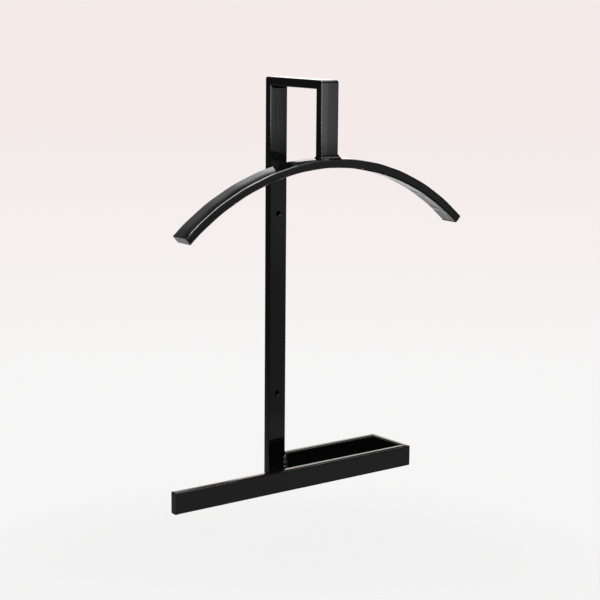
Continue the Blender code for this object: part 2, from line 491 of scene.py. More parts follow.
class Board:
    """A node tree, and short ways to add nodes to it."""

    def __init__(self, tree):
        self.tree = tree

    def add(self, kind, settings=None, sockets=None, out=0):
        """Adds a node, with its settings made first and then its sockets, and gives one of its outputs."""
        node = self.tree.nodes.new(kind)
        for name, value in (settings or {}).items():
            setattr(node, name, value)
        for name, value in (sockets or {}).items():
            if isinstance(value, Signal):
                self.tree.links.new(value.socket, node.inputs[name])
            else:
                node.inputs[name].default_value = value
        return Signal(self, node.outputs[out]) if node.outputs else None

    def place(self):
        """Coordinates on the object, in metres."""
        return self.add("ShaderNodeTexCoord", out="Object")

    def parts(self, vector):
        first = self.add("ShaderNodeSeparateXYZ", None, {0: vector})
        return [first.other(axis) for axis in "XYZ"]

    def vector(self, x, y, z):
        return self.add("ShaderNodeCombineXYZ", None, {"X": x, "Y": y, "Z": z})

    def mixed(self, share, bare, full):
        """A colour between two."""
        sockets = {0: share, 6: (*bare, 1), 7: (*full, 1)}
        return self.add("ShaderNodeMix", {"data_type": "RGBA"}, sockets, out=2)

    def noise(self, vector, scale, detail, roughness=0.5):
        sockets = {"Vector": vector, "Scale": scale, "Detail": detail, "Roughness": roughness}
        return self.add("ShaderNodeTexNoise", {"noise_dimensions": "3D"}, sockets)

    def bump(self, height, distance, normal=None):
        sockets = {"Height": height, "Distance": distance, "Strength": 1.0}
        if normal:
            sockets["Normal"] = normal
        return self.add("ShaderNodeBump", None, sockets)

    def blend(self, share, bare, full):
        """A shader between two."""
        return self.add("ShaderNodeMixShader", None, {0: share, 1: bare, 2: full})

    def surface(self, shader):
        """Ends a material's tree."""
        self.add("ShaderNodeOutputMaterial", None, {"Surface": shader})


def new_material(name):
    """A material with an empty tree, as a board."""
    material = bpy.data.materials.new(name)
    material.use_nodes = True
    material.node_tree.nodes.clear()
    return material, Board(material.node_tree)


# Enamel

# Noise over the surface, whose scale is in waves per metre
STREAKS = {"scale": 130.0, "detail": 2.0}
PEEL = {"scale": 420.0, "detail": 1.0}
PATCHES = {"scale": 28.0, "detail": 3.0}
WIPES = {"scale": 240.0, "detail": 3.0}
RUNS = {"scale": 330.0, "detail": 3.0, "roughness": 0.6}
NICKS = {"scale": 420.0, "detail": 2.0}
CREASES = {"scale": 220.0, "detail": 1.5}
WELD_GRAIN = {"scale": 900.0, "detail": 2.0}
BEAD_GRAIN = {"scale": 560.0, "detail": 2.0}
WELD_GRAIN_HEIGHT = 0.03 * MM
BEAD_GRAIN_HEIGHT = 2.5 * MM

# What is left of the noise's scale along a tube, which draws out its streaks and creases
STREAK_STRETCH = 0.03
CREASE_STRETCH = 0.12

# Slant and sharpness of the marks that each press of the bender left
PRESS_SLANT = 0.3
PRESS_SHARPNESS = 30.0

# Levels of noise between which the paint turns hazy, and what haze adds to its roughness
PATCH_LEVELS = (0.45, 0.75)
WIPE_LEVELS = (0.4, 0.7)
WELD_PATCH_LEVELS = (0.4, 0.7)
HAZE_ROUGHNESS = 0.04

ENAMEL_IOR = 1.5
TUBE_SHINE = 0.5
WELD_SHINE = 0.1
BEAD_SHINE = 1.0

# How squarely a surface faces front and left at the sides and in the middle of a rounded edge
FRONT_LEFT = (FRONT + LEFT).normalized()
EDGE_FACING = (0.74, 0.95)


def along_straight(axis):
    """Coordinates across, across and along a straight tube, in metres."""

    def coordinates(board):
        parts = board.parts(board.place())
        return [*(part for part, letter in zip(parts, "XYZ") if letter != axis), parts["XYZ".index(axis)]]

    return coordinates


def along_bow(board):
    """Coordinates across, from the bend's centre and along the bowed hanger, in metres."""
    x, y, z = board.parts(board.place())
    rise = z - bow_centre().z
    reach = (x * x + rise * rise) ** 0.5
    return [y, reach, x.angle_over(rise) * sizes().bow_radius]


def enamel_tube(name, coordinates, runs=None, nicks=False, wrinkles=None):
    """Gloss black enamel over drawn tube: lines along the tube, orange peel and dull patches.

    Where asked, it has paint runs that fade in between two heights, nicked edges, or wrinkles that fade out
    between two distances from the bend's centre.
    """
    material, board = new_material(name)
    across, through, along = coordinates(board)
    place = board.vector(across, through, along)
    drawn = board.vector(across, through, along * STREAK_STRETCH)
    wiped = board.noise(drawn, **WIPES).smooth(*WIPE_LEVELS)
    haze = board.noise(place, **PATCHES).smooth(*PATCH_LEVELS) * wiped
    skin = board.bump(board.noise(drawn, **STREAKS), finish().streak_height)
    skin = board.bump(board.noise(place, **PEEL), finish().peel_height, skin)
    if runs:
        skin = board.bump(board.noise(drawn, **RUNS) * along.smooth(*runs), finish().run_height, skin)
    if nicks:
        skin = board.bump(board.noise(place, **NICKS) * front_left_edge(board), finish().nick_height, skin)
    if wrinkles:
        creases = board.noise(board.vector(across, through, along * CREASE_STRETCH), **CREASES)
        presses = ((along + across * PRESS_SLANT) / sizes().bend_pitch).wave() * 0.5 + 0.5
        relief = creases + presses**PRESS_SHARPNESS
        skin = board.bump(relief * (1 - through.smooth(*wrinkles)), finish().wrinkle_height, skin)
    paint(board, haze, finish().tube_gloss, skin, TUBE_SHINE)
    return material


def front_left_edge(board):
    """1 in the middle of a tube's rounded front left edge, and 0 on the flats beside it."""
    x, y, _ = board.parts(board.add("ShaderNodeNewGeometry", out="Normal"))
    return (x * FRONT_LEFT.x + y * FRONT_LEFT.y).smooth(*EDGE_FACING)


def enamel_weld(name, shine, grain, grain_height):
    """The same enamel over weld metal: rougher, and grainy."""
    material, board = new_material(name)
    place = board.place()
    skin = board.bump(board.noise(place, **grain), grain_height)
    haze = board.noise(place, **PATCHES).smooth(*WELD_PATCH_LEVELS)
    paint(board, haze, finish().weld_gloss, skin, shine)
    return material


def paint(board, haze, roughness, normal, shine):
    """The paint's shader, hazier and duller where haze is 1."""
    sockets = {
        "Base Color": board.mixed(haze, finish().enamel, finish().enamel_haze),
        "Roughness": haze * HAZE_ROUGHNESS + roughness,
        "IOR": ENAMEL_IOR,
        "Specular IOR Level": shine,
        "Normal": normal,
    }
    board.surface(board.add("ShaderNodeBsdfPrincipled", None, sockets))


# Meshes

# Steps round edges and holes, and the small reaches of cuts and sunk ends
SIDE_STEPS = 5
SMOOTH_BELOW = math.radians(40)
MITRE_STEPS = 6
MITRE_LEAST = 0.02 * MM
POST_SINK_Z = -0.5 * MM
LIP_STEPS = 6
LIP_TURN = math.radians(80)
LIP_OVERSHOOT = 0.4 * MM
HOLE_SIDES = 64
PLATE_STEPS = 5


def axes(along, outward):
    """A turn that sends local Z to along and local Y to outward."""
    return Matrix((outward.cross(along), outward, along)).transposed().to_4x4()


def outline(width, depth, radius):
    """A rounded rectangle, anticlockwise, whose narrow sides bulge a little."""
    points = []
    steps = sizes().corner_steps
    for corner, (side_x, side_y) in enumerate(((1, 1), (-1, 1), (-1, -1), (1, -1))):
        for step in range(steps + 1):
            turn = (corner + step / steps) * math.pi / 2
            x = side_x * (width / 2 - radius) + radius * math.cos(turn)
            y = side_y * (depth / 2 - radius) + radius * math.sin(turn)
            points.append((x, y))
        if side_x * side_y < 0:
            for step in range(1, SIDE_STEPS):
                share = 1 - 2 * step / SIDE_STEPS
                points.append((side_x * width / 2, side_y * share * (depth / 2 - radius)))
    return [(x - math.copysign(sizes().side_bulge, x) * (2 * y / depth) ** 2, y) for x, y in points]


def mesh_of(name, bm):
    """A mesh of what was built, which is freed."""
    mesh = bpy.data.meshes.new(name)
    bm.to_mesh(mesh)
    bm.free()
    return mesh


def loft(name, loops, ring):
    """A closed skin through loops of points: a ring leads round to the first loop, and others are capped."""
    bm = bmesh.new()
    rows = [[bm.verts.new(point) for point in loop] for loop in loops]
    pairs = list(zip(rows, rows[1:]))
    if ring:
        pairs.append((rows[-1], rows[0]))
    else:
        bm.faces.new(rows[0])
        bm.faces.new(rows[-1])
    for row, next_row in pairs:
        for index, vert in enumerate(row):
            bm.faces.new((row[index - 1], vert, next_row[index], next_row[index - 1]))
    bmesh.ops.recalc_face_normals(bm, faces=bm.faces)
    return mesh_of(name, bm)


def linked(name, data):
    thing = bpy.data.objects.new(name, data)
    bpy.context.scene.collection.objects.link(thing)
    return thing


def baked(thing):
    """The evaluated mesh of an object, which is removed with its modifiers."""
    graph = bpy.context.evaluated_depsgraph_get()
    mesh = bpy.data.meshes.new_from_object(thing.evaluated_get(graph), depsgraph=graph)
    bpy.data.objects.remove(thing)
    return mesh


def smoothed(mesh):
    """The mesh shaded smooth over its rounded edges, with its flats kept flat."""
    mesh.shade_smooth()
    mesh.set_sharp_from_angle(angle=SMOOTH_BELOW)
    thing = linked("smoothing", mesh)
    flats = thing.modifiers.new("flats", "WEIGHTED_NORMAL")
    flats.keep_sharp = True
    return baked(thing)


def add_piece(name, mesh, material, node):
    """Adds a finished mesh to the rack, in place of a CAD node."""
    mesh.name = name
    mesh.materials.clear()
    mesh.materials.append(material)
    piece = linked(name, mesh)
    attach(piece, BODY)
    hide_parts(node)


def square_end(back):
    """A plain cut, at a distance from the tube's nominal end."""
    return lambda x, y: [(y, back)]


def mitred_end(x, y):
    """A mitre whose long side is the +Y face, ground round at its outer edge."""
    depth = TUBE_DEPTH / 2 - y
    radius = max(sizes().mitre_radius - depth, MITRE_LEAST)
    points = []
    for step in range(MITRE_STEPS + 1):
        turn = math.pi / 4 * step / MITRE_STEPS
        points.append((y - radius + radius * math.cos(turn), depth + radius - radius * math.sin(turn)))
    return points


def coped_end(x, y):
    """The foot of the drop post, sunk a little into the hanger's round."""
    return [(y, POST_SINK_Z - bow_drop(x))]


def flat_back(end, x, y):
    """How far from the tube's nominal end the bore stops, on the flat of the cut."""
    if end is mitred_end:
        return TUBE_DEPTH / 2 - y
    return end(x, y)[0][1]


def bow_drop(x):
    """How far the hanger's upper face lies below its crown, at x from the centre line."""
    return sizes().bow_radius - math.sqrt(sizes().bow_radius ** 2 - x**2)


def bow_centre():
    return Vector((0, POST_Y, CROWN_Z - sizes().bow_radius))


def tube(name, start_point, along, outward, length, start, end):
    """A hollow tube from start_point, whose start and end give each outline point's last stretch."""
    wall = sizes().tube_wall
    skin = outline(TUBE_WIDTH, TUBE_DEPTH, sizes().corner_radius)
    bore = outline(TUBE_WIDTH - 2 * wall, TUBE_DEPTH - 2 * wall, sizes().bore_radius)
    first = [start(x, y)[::-1] for x, y in skin]
    last = [end(x, y) for x, y in skin]
    loops = []
    for step in range(len(first[0])):
        loops.append([(x, ends[step][0], ends[step][1]) for (x, _), ends in zip(skin, first)])
    for step in range(len(last[0])):
        loops.append([(x, ends[step][0], length - ends[step][1]) for (x, _), ends in zip(skin, last)])
    loops.append([(x, y, length - flat_back(end, x, y)) for x, y in bore])
    loops.append([(x, y, flat_back(start, x, y)) for x, y in bore])
    mesh = loft(name, loops, ring=True)
    mesh.transform(Matrix.Translation(start_point) @ axes(along, outward))
    return mesh


def sloped(mesh, above, lift=0.0):
    """The mesh with all above a height brought to the arm's slope, and lifted."""
    slope = sizes().arm_fall / ARM_REACH
    for vert in mesh.vertices:
        if vert.co.z > above:
            vert.co.z += lift - slope * (UPRIGHT_HIGH.y - vert.co.y)
    return mesh


def under_arm(reach):
    """The middle of the arm's lower face, at a distance from the wall."""
    fall = sizes().arm_fall * reach / ARM_REACH
    return Vector((0, UPRIGHT_HIGH.y - reach, TOP_Z - TUBE_DEPTH - fall))


def drill(name, height):
    """A cutter for a screw hole, flared at both faces of the upright to round its edges."""
    radius = sizes().hole_diameter / 2
    lip = sizes().hole_lip
    profile = []
    for step in range(LIP_STEPS + 1):
        turn = LIP_TURN * step / LIP_STEPS
        profile.append((radius + lip - lip * math.cos(turn), lip - lip * math.sin(turn)))
    profile.append((profile[-1][0] + LIP_OVERSHOOT, profile[-1][1] - LIP_OVERSHOOT / math.tan(LIP_TURN)))
    front = [(reach, UPRIGHT_LOW.y + inside) for reach, inside in reversed(profile)]
    back = [(reach, UPRIGHT_HIGH.y - inside) for reach, inside in profile]
    turns = [2 * math.pi * side / HOLE_SIDES for side in range(HOLE_SIDES)]
    loops = []
    for reach, y in front + back:
        loops.append([(reach * math.cos(turn), y, height + reach * math.sin(turn)) for turn in turns])
    cutter = linked(name, loft(name, loops, ring=False))
    cutter.hide_render = True
    return cutter


def drilled(mesh):
    """The upright with its two screw holes."""
    upright = linked("drilling", mesh)
    half = sizes().hole_spacing / 2
    cutters = [drill("upper_drill", half), drill("lower_drill", -half)]
    for cutter in cutters:
        cut = upright.modifiers.new(cutter.name, "BOOLEAN")
        cut.operation = "DIFFERENCE"
        cut.object = cutter
    mesh = baked(upright)
    for cutter in cutters:
        bpy.data.objects.remove(cutter)
    return mesh


def plate(name, seat, along, outward, thickness):
    """An end plate with a rounded outer edge: seat is the middle of its inner face."""
    edge = sizes().plate_edge
    loops = []
    for step in range(PLATE_STEPS + 1):
        turn = math.pi / 2 * step / PLATE_STEPS
        grow = sizes().plate_proud - edge + edge * math.cos(turn)
        rim = outline(TUBE_WIDTH + 2 * grow, TUBE_DEPTH + 2 * grow, sizes().corner_radius + grow)
        if not loops:
            loops.append([(x, y, 0) for x, y in rim])
        loops.append([(x, y, thickness - edge + edge * math.sin(turn)) for x, y in rim])
    mesh = loft(name, loops, ring=False)
    mesh.transform(Matrix.Translation(seat) @ axes(along, outward))
    return mesh


# Geometry Nodes

# Where the hanger's faces fall away, from -1 at its left end to 1 at its right end
FALL_GROWS = (-1.0, -0.3)
FALL_ENDS = (-0.3, -0.05)
LOWER_FALL_GROWS = (0.0, 0.3)
LOWER_FALL_ENDS = (0.85, 1.0)
FLAT_CUTS = 8

# Sections, ripples and lumps of the welds
WELD_AROUND = 64
WELD_SPACING = 0.3 * MM
FILLET_HOLLOW = 2.6
BEAD_HOLLOW = 1.0
RIPPLE_WANDER = 1.2
LUMP_DETAIL = 2.0
LUMP_MIDDLE = 0.5
TRAVELLED = "travelled"
PATH_STEPS = 48
TAPER_POWER = 5
TAPER_LEAST = 0.3


def new_nodes(name, inputs):
    """A Geometry Nodes tree with a geometry and the named inputs, as a board and its input signals."""
    tree = bpy.data.node_groups.new(name, "GeometryNodeTree")
    tree.interface.new_socket("Geometry", in_out="INPUT", socket_type="NodeSocketGeometry")
    for label, kind in inputs.items():
        tree.interface.new_socket(label, in_out="INPUT", socket_type="NodeSocket" + kind)
    tree.interface.new_socket("Geometry", in_out="OUTPUT", socket_type="NodeSocketGeometry")
    board = Board(tree)
    source = board.add("NodeGroupInput")
    return board, {label: source.other(label) for label in ("Geometry", *inputs)}


def end_nodes(board, geometry, material):
    """Ends a tree: smooth shading, real geometry and its material."""
    smooth = board.add("GeometryNodeSetShadeSmooth", None, {"Geometry": geometry})
    real = board.add("GeometryNodeRealizeInstances", None, {"Geometry": smooth})
    painted = board.add("GeometryNodeSetMaterial", None, {"Geometry": real, "Material": material})
    board.add("NodeGroupOutput", None, {"Geometry": painted})


def grown(name, data, tree, values):
    """The mesh that a tree makes of data, with the tree's inputs set to values."""
    thing = linked(name, data)
    nodes = thing.modifiers.new(name, "NODES")
    nodes.node_group = tree
    for item in tree.interface.items_tree:
        if item.in_out == "INPUT" and item.name in values:
            nodes[item.identifier] = values[item.name]
    return baked(thing)


def bow_nodes():
    """A tube bent to an arc: a rounded section swept along it, closed at its ends and worked on its faces."""
    inputs = {
        "Centre": "Vector",
        "Radius": "Float",
        "Half Angle": "Float",
        "Width": "Float",
        "Depth": "Float",
        "Corner Radius": "Float",
        "Corner Steps": "Int",
        "Bow Steps": "Int",
        "Lift": "Float",
        "Middle Fall": "Float",
        "End Fall": "Float",
        "Lower Fall": "Float",
        "Bend Pitch": "Float",
        "Bend Height": "Float",
        "Lean": "Float",
        "Material": "Material",
    }
    board, given = new_nodes("Bowed tube", inputs)
    arc = board.add(
        "GeometryNodeCurveArc",
        {"mode": "RADIUS"},
        {
            "Resolution": given["Bow Steps"],
            "Radius": given["Radius"],
            "Start Angle": math.pi / 2 - given["Half Angle"],
            "Sweep Angle": 2 * given["Half Angle"],
        },
    )
    stood = board.add(
        "GeometryNodeTransform",
        None,
        {"Geometry": arc, "Translation": given["Centre"], "Rotation": (math.pi / 2, 0, 0)},
    )
    levelled = board.add("GeometryNodeSetCurveNormal", None, {"Curve": stood})
    section = board.add(
        "GeometryNodeCurvePrimitiveQuadrilateral",
        {"mode": "RECTANGLE"},
        {"Width": given["Width"], "Height": given["Depth"]},
    )
    rounded = board.add(
        "GeometryNodeFilletCurve",
        {"mode": "POLY"},
        {"Curve": section, "Radius": given["Corner Radius"], "Count": given["Corner Steps"]},
    )
    dense = board.add("GeometryNodeSubdivideCurve", None, {"Curve": rounded, "Cuts": FLAT_CUTS})
    turned = board.vector(0.0, 0.0, 0 - given["Lean"])
    leaning = board.add("GeometryNodeTransform", None, {"Geometry": dense, "Rotation": turned})
    swept = board.add(
        "GeometryNodeCurveToMesh", None, {"Curve": levelled, "Profile Curve": leaning, "Fill Caps": True}
    )

    x, y, z = board.parts(board.add("GeometryNodeInputPosition"))
    _, middle_y, middle_z = board.parts(given["Centre"])
    rise = z - middle_z
    reach = (x * x + rise * rise) ** 0.5
    forward = ((middle_y - y) * 2 / given["Width"]).most(0.0)
    upper = (reach - given["Radius"]) / given["Depth"] + 0.5
    turn = x.angle_over(rise)
    outer = turn / given["Half Angle"]
    fall = given["End Fall"] + (given["Middle Fall"] - given["End Fall"]) * outer.smooth(*FALL_GROWS)
    fall = fall * (1 - outer.smooth(*FALL_ENDS))
    lower_fall = given["Lower Fall"] * outer.smooth(*LOWER_FALL_GROWS) * (1 - outer.smooth(*LOWER_FALL_ENDS))
    bends = (turn * given["Radius"] / given["Bend Pitch"]).wave() * given["Bend Height"]
    share = 1 - (bends + upper * forward * forward * fall + (1 - upper) * forward * lower_fall) / reach
    lift = given["Lift"] * (1 - outer * outer)
    shaped = board.vector(x * share, y, middle_z + rise * share + lift)
    worked = board.add("GeometryNodeSetPosition", None, {"Geometry": swept, "Position": shaped})
    end_nodes(board, worked, given["Material"])
    return board.tree


def weld_nodes():
    """A bead along a path: a hollow-sided section scaled by the path's radius, with ripples and lumps."""
    inputs = {
        "Hollow": "Float",
        "Around": "Int",
        "Spacing": "Float",
        "Ripple Pitch": "Float",
        "Ripple Height": "Float",
        "Lump Size": "Float",
        "Lump Height": "Float",
        "Seed": "Float",
        "Material": "Material",
    }
    board, given = new_nodes("Weld bead", inputs)
    fine = board.add(
        "GeometryNodeResampleCurve",
        {"mode": "LENGTH"},
        {"Curve": given["Geometry"], "Length": given["Spacing"]},
    )
    levelled = board.add("GeometryNodeSetCurveNormal", {"mode": "Z_UP"}, {"Curve": fine})
    travelled = board.add("GeometryNodeSplineParameter", out="Length")
    marked = board.add(
        "GeometryNodeStoreNamedAttribute",
        {"data_type": "FLOAT", "domain": "POINT"},
        {"Geometry": levelled, "Name": TRAVELLED, "Value": travelled},
    )
    ring = board.add(
        "GeometryNodeCurvePrimitiveCircle", {"mode": "RADIUS"}, {"Resolution": given["Around"], "Radius": 1.0}
    )
    x, y, _ = board.parts(board.add("GeometryNodeInputPosition"))
    hollowed = board.vector(x.sign() * abs(x) ** given["Hollow"], y.sign() * abs(y) ** given["Hollow"], 0.0)
    section = board.add("GeometryNodeSetPosition", None, {"Geometry": ring, "Position": hollowed})
    swept = board.add(
        "GeometryNodeCurveToMesh",
        None,
        {
            "Curve": marked,
            "Profile Curve": section,
            "Scale": board.add("GeometryNodeInputRadius"),
            "Fill Caps": True,
        },
    )

    place = board.add("GeometryNodeInputPosition")
    seeded = board.vector(given["Seed"], given["Seed"], given["Seed"])
    moved = board.add("ShaderNodeVectorMath", {"operation": "ADD"}, {0: place, 1: seeded})
    lumps = board.noise(moved, 1 / given["Lump Size"], LUMP_DETAIL) - LUMP_MIDDLE
    along = board.add("GeometryNodeInputNamedAttribute", {"data_type": "FLOAT"}, {"Name": TRAVELLED})
    ripples = (along / given["Ripple Pitch"] + lumps * RIPPLE_WANDER).wave()
    height = lumps * given["Lump Height"] + ripples * given["Ripple Height"]
    normal = board.add("GeometryNodeInputNormal")
    push = board.add("ShaderNodeVectorMath", {"operation": "SCALE"}, {0: normal, "Scale": height})
    lumpy = board.add("GeometryNodeSetPosition", None, {"Geometry": swept, "Offset": push})
    end_nodes(board, lumpy, given["Material"])
    return board.tree


def weld_path(name, points, closed):
    """A path of (place, leg) points for a weld."""
    curve = bpy.data.curves.new(name, "CURVE")
    curve.dimensions = "3D"
    spline = curve.splines.new("POLY")
    spline.points.add(len(points) - 1)
    for point, (place, leg) in zip(spline.points, points):
        point.co = (*place, 1)
        point.radius = leg
    spline.use_cyclic_u = closed
    return curve


def straight_path(name, length, leg):
    """A path along X that tapers at both ends."""
    points = []
    for step in range(PATH_STEPS + 1):
        share = 2 * step / PATH_STEPS - 1
        taper = max(1 - abs(share) ** TAPER_POWER, 0) ** 0.5
        points.append(((share * length / 2, 0, 0), leg * (TAPER_LEAST + (1 - TAPER_LEAST) * taper)))
    return weld_path(name, points, closed=False)


def weld_mesh(path, tree, hollow, seed, place, material):
    """The mesh of a weld along a path, brought to its place."""
    values = {
        "Hollow": hollow,
        "Around": WELD_AROUND,
        "Spacing": WELD_SPACING,
        "Ripple Pitch": sizes().ripple_pitch,
        "Ripple Height": sizes().ripple_height,
        "Lump Size": sizes().lump_size,
        "Lump Height": sizes().lump_height,
        "Seed": seed,
        "Material": material,
    }
    mesh = grown(path.name, path, tree, values)
    mesh.transform(place)
    return mesh


# Operators

RUN_HEIGHTS = (TOP_Z - 110 * MM, TOP_Z - 30 * MM)
BEAD_FLATNESS = 0.45
POST_SEED = 11

# How far through the hanger's tube its wrinkles and press marks are full, and where they begin
INNER_SIDE = (0.97, 0.88)


class RACK_OT_upright(bpy.types.Operator):
    """Add the upright on the wall, with its screw holes"""

    bl_idname = "rack.upright"
    bl_label = "Upright"

    def execute(self, context):
        foot = Vector((0, UPRIGHT_Y, BOTTOM_Z))
        cut = square_end(UPRIGHT_LOW.z - BOTTOM_Z)
        mesh = tube("upright_tube", foot, UP, BACK, TOP_Z - BOTTOM_Z, cut, mitred_end)
        mesh = sloped(mesh, TOP_Z - 2 * TUBE_DEPTH)
        material = enamel_tube("upright_enamel", along_straight("Z"), runs=RUN_HEIGHTS, nicks=True)
        add_piece("upright_tube", smoothed(drilled(mesh)), material, "wall_upright")
        return {"FINISHED"}


class RACK_OT_neck(bpy.types.Operator):
    """Add the arm and the drop post"""

    bl_idname = "rack.neck"
    bl_label = "Arm and drop post"

    def execute(self, context):
        arm_start = Vector((0, UPRIGHT_HIGH.y, TOP_Z - TUBE_DEPTH / 2))
        arm = tube("arm_tube", arm_start, FRONT, UP, ARM_REACH, mitred_end, mitred_end)
        material = enamel_tube("arm_enamel", along_straight("Y"), nicks=True)
        add_piece("arm_tube", smoothed(sloped(arm, BOTTOM_Z)), material, "top_arm")

        fall = sizes().arm_fall
        post_top = Vector((0, POST_Y, TOP_Z - fall))
        post = tube("drop_post_tube", post_top, DOWN, FRONT, post_top.z - CROWN_Z, mitred_end, coped_end)
        post = sloped(post, post_top.z - 2 * TUBE_DEPTH, lift=fall)
        material = enamel_tube("drop_post_enamel", along_straight("Z"), nicks=True)
        add_piece("drop_post_tube", smoothed(post), material, "drop_post")
        return {"FINISHED"}


class RACK_OT_hanger(bpy.types.Operator):
    """Add the bowed hanger and its end plates"""

    bl_idname = "rack.hanger"
    bl_label = "Hanger"

    def execute(self, context):
        half_angle = math.asin(BOW_HIGH.x / sizes().bow_radius)
        middle = sizes().bow_radius - TUBE_DEPTH / 2
        inner_side = [sizes().bow_radius - TUBE_DEPTH * share for share in INNER_SIDE]
        material = enamel_tube("hanger_enamel", along_bow, wrinkles=inner_side)
        values = {
            "Centre": bow_centre(),
            "Radius": middle,
            "Half Angle": half_angle,
            "Width": TUBE_WIDTH,
            "Depth": TUBE_DEPTH,
            "Corner Radius": sizes().corner_radius,
            "Corner Steps": sizes().corner_steps,
            "Bow Steps": sizes().bow_steps,
            "Lift": sizes().bow_lift,
            "Middle Fall": sizes().middle_fall,
            "End Fall": sizes().end_fall,
            "Lower Fall": sizes().lower_fall,
            "Bend Pitch": sizes().bend_pitch,
            "Bend Height": sizes().bend_height,
            "Lean": sizes().hanger_lean,
            "Material": material,
        }
        mesh = grown("hanger_tube", bpy.data.meshes.new("hanger_tube"), bow_nodes(), values)
        add_piece("hanger_tube", smoothed(mesh), material, "hanger_bow")

        thickness = (BOW_LOW.x - BOW_CAP_LOW.x) / math.cos(half_angle)
        lean = sizes().hanger_lean
        for side, direction, sign in (("left", LEFT, -1), ("right", RIGHT, 1)):
            turn = Matrix.Rotation(sign * half_angle, 3, "Y")
            seat = bow_centre() + turn @ (middle * UP)
            outward = turn @ UP * math.cos(lean) + FRONT * math.sin(lean)
            name = "hanger_end_plate_" + side
            end = plate(name, seat, turn @ direction, outward, thickness)
            add_piece(name, smoothed(end), material, "hanger_cap_" + side)
        return {"FINISHED"}


class RACK_OT_rails(bpy.types.Operator):
    """Add the trouser rail: front rail, return and rear rail"""

    bl_idname = "rack.rails"
    bl_label = "Trouser rail"

    def execute(self, context):
        enamel_x = enamel_tube("rail_enamel", along_straight("X"))
        enamel_y = enamel_tube("return_enamel", along_straight("Y"))
        start = Vector((RAIL_LEFT_X, RAIL_FRONT_Y + TUBE_DEPTH / 2, RAIL_Z))
        cut = square_end(FRONT_RAIL_LOW.x - RAIL_LEFT_X)
        front = tube("front_rail_tube", start, RIGHT, FRONT, RAIL_RIGHT_X - RAIL_LEFT_X, cut, mitred_end)
        add_piece("front_rail_tube", smoothed(front), enamel_x, "front_rail")

        start = Vector((RAIL_RIGHT_X - TUBE_DEPTH / 2, RAIL_FRONT_Y, RAIL_Z))
        back = tube("return_tube", start, BACK, RIGHT, UPRIGHT_HIGH.y - RAIL_FRONT_Y, mitred_end, mitred_end)
        add_piece("return_tube", smoothed(back), enamel_y, "rail_return")

        start = Vector((RAIL_RIGHT_X, UPRIGHT_Y, RAIL_Z))
        cut = square_end(0.0)
        rear = tube("rear_rail_tube", start, LEFT, BACK, RAIL_RIGHT_X - UPRIGHT_HIGH.x, mitred_end, cut)
        add_piece("rear_rail_tube", smoothed(rear), enamel_x, "rear_rail")
        return {"FINISHED"}


class RACK_OT_plates(bpy.types.Operator):
    """Add the plates that close the upright's foot and the front rail's free end"""

    bl_idname = "rack.plates"
    bl_label = "End plates"

    def execute(self, context):
        material = enamel_tube("plate_enamel", along_straight("Z"))
        foot = Vector((0, UPRIGHT_Y, UPRIGHT_LOW.z))
        mesh = plate("upright_foot_plate", foot, DOWN, BACK, UPRIGHT_LOW.z - BOTTOM_Z)
        add_piece("upright_foot_plate", smoothed(mesh), material, "upright_foot_cap")
        free_end = Vector((FRONT_RAIL_LOW.x, RAIL_FRONT_Y + TUBE_DEPTH / 2, RAIL_Z))
        mesh = plate("front_rail_end_plate", free_end, LEFT, FRONT, FRONT_RAIL_LOW.x - RAIL_LEFT_X)
        add_piece("front_rail_end_plate", smoothed(mesh), material, "front_rail_cap")
        return {"FINISHED"}


